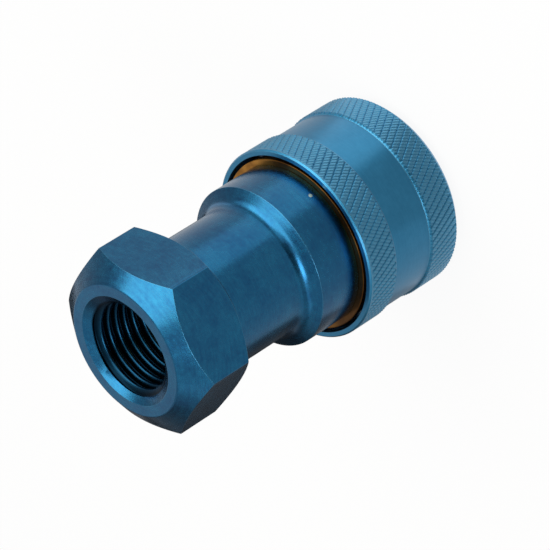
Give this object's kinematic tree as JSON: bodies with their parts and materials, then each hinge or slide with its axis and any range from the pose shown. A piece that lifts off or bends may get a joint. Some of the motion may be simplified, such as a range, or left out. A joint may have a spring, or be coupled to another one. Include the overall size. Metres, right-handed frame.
{
  "type": "quick coupling",
  "caption": "Socket half of a hydraulic quick coupling: a hexagon with a threaded port, a knurled sleeve over locking balls, and a sprung poppet valve.",
  "frame": {"origin": "on the axis, at the mouth face that the coupling stands on", "axes": "+Z along the axis from the mouth to the hexagon's port face; +X through a corner of the hexagon"},
  "size_m": [0.0264, 0.0262, 0.047],
  "materials": {
    "anodised_body": "satin blue anodised",
    "anodised_sleeve": "matte blue anodised",
    "brass_ring": "satin",
    "spring_steel": "drawn wire",
    "ring_steel": "dark oiled",
    "ball_steel": "polished",
    "seal_rubber": "matte",
    "backup_plastic": "matte",
    "valve_brass": "turned"
  },
  "bodies": {
    "body": {"coupling_body": "anodised_body", "sleeve_retaining_ring": "ring_steel", "nipple_seal": "seal_rubber", "backup_ring": "backup_plastic", "valve_guide": "valve_brass", "valve_retaining_ring": "ring_steel", "valve_spring": "spring_steel"},
    "spring_seat": {"spring_stop_ring": "brass_ring", "sleeve_spring": "spring_steel"},
    "sleeve": {"sleeve": "anodised_sleeve"},
    "poppet": {"poppet": "valve_brass", "poppet_seal": "seal_rubber"},
    "ball_1": {"locking_ball_1": "ball_steel"},
    "ball_2": {"locking_ball_2": "ball_steel"},
    "ball_3": {"locking_ball_3": "ball_steel"},
    "ball_4": {"locking_ball_4": "ball_steel"},
    "ball_5": {"locking_ball_5": "ball_steel"},
    "ball_6": {"locking_ball_6": "ball_steel"},
    "ball_7": {"locking_ball_7": "ball_steel"},
    "ball_8": {"locking_ball_8": "ball_steel"}
  },
  "joints": [
    {"name": "sleeve_turn", "type": "hinge", "parent": "body", "child": "spring_seat", "pos_m": [0, 0, 0.0162], "axis": [0, 0, 1], "continuous": true},
    {"name": "sleeve_pull", "type": "slide", "parent": "spring_seat", "child": "sleeve", "axis": [0, 0, 1], "range_m": [0, 0.0036], "stiffness_N_per_m": 500, "springref_m": -0.006, "deforming": ["sleeve_spring"]},
    {"name": "poppet_push", "type": "slide", "parent": "body", "child": "poppet", "axis": [0, 0, 1], "range_m": [0, 0.0025], "stiffness_N_per_m": 400, "springref_m": -0.005, "deforming": ["valve_spring"]},
    {"name": "ball_1_release", "type": "slide", "parent": "body", "child": "ball_1", "axis": [1, 0, 0], "range_m": [0, 0.001]},
    {"name": "ball_2_release", "type": "slide", "parent": "body", "child": "ball_2", "axis": [0.7071, 0.7071, 0], "range_m": [0, 0.001]},
    {"name": "ball_3_release", "type": "slide", "parent": "body", "child": "ball_3", "axis": [0, 1, 0], "range_m": [0, 0.001]},
    {"name": "ball_4_release", "type": "slide", "parent": "body", "child": "ball_4", "axis": [-0.7071, 0.7071, 0], "range_m": [0, 0.001]},
    {"name": "ball_5_release", "type": "slide", "parent": "body", "child": "ball_5", "axis": [-1, 0, 0], "range_m": [0, 0.001]},
    {"name": "ball_6_release", "type": "slide", "parent": "body", "child": "ball_6", "axis": [-0.7071, -0.7071, 0], "range_m": [0, 0.001]},
    {"name": "ball_7_release", "type": "slide", "parent": "body", "child": "ball_7", "axis": [0, -1, 0], "range_m": [0, 0.001]},
    {"name": "ball_8_release", "type": "slide", "parent": "body", "child": "ball_8", "axis": [0.7071, -0.7071, 0], "range_m": [0, 0.001]}
  ],
  "couplings": [
    {"joint": "ball_1_release", "follows": "sleeve_pull", "ratio": 0.27778},
    {"joint": "ball_2_release", "follows": "sleeve_pull", "ratio": 0.27778},
    {"joint": "ball_3_release", "follows": "sleeve_pull", "ratio": 0.27778},
    {"joint": "ball_4_release", "follows": "sleeve_pull", "ratio": 0.27778},
    {"joint": "ball_5_release", "follows": "sleeve_pull", "ratio": 0.27778},
    {"joint": "ball_6_release", "follows": "sleeve_pull", "ratio": 0.27778},
    {"joint": "ball_7_release", "follows": "sleeve_pull", "ratio": 0.27778},
    {"joint": "ball_8_release", "follows": "sleeve_pull", "ratio": 0.27778}
  ]
}
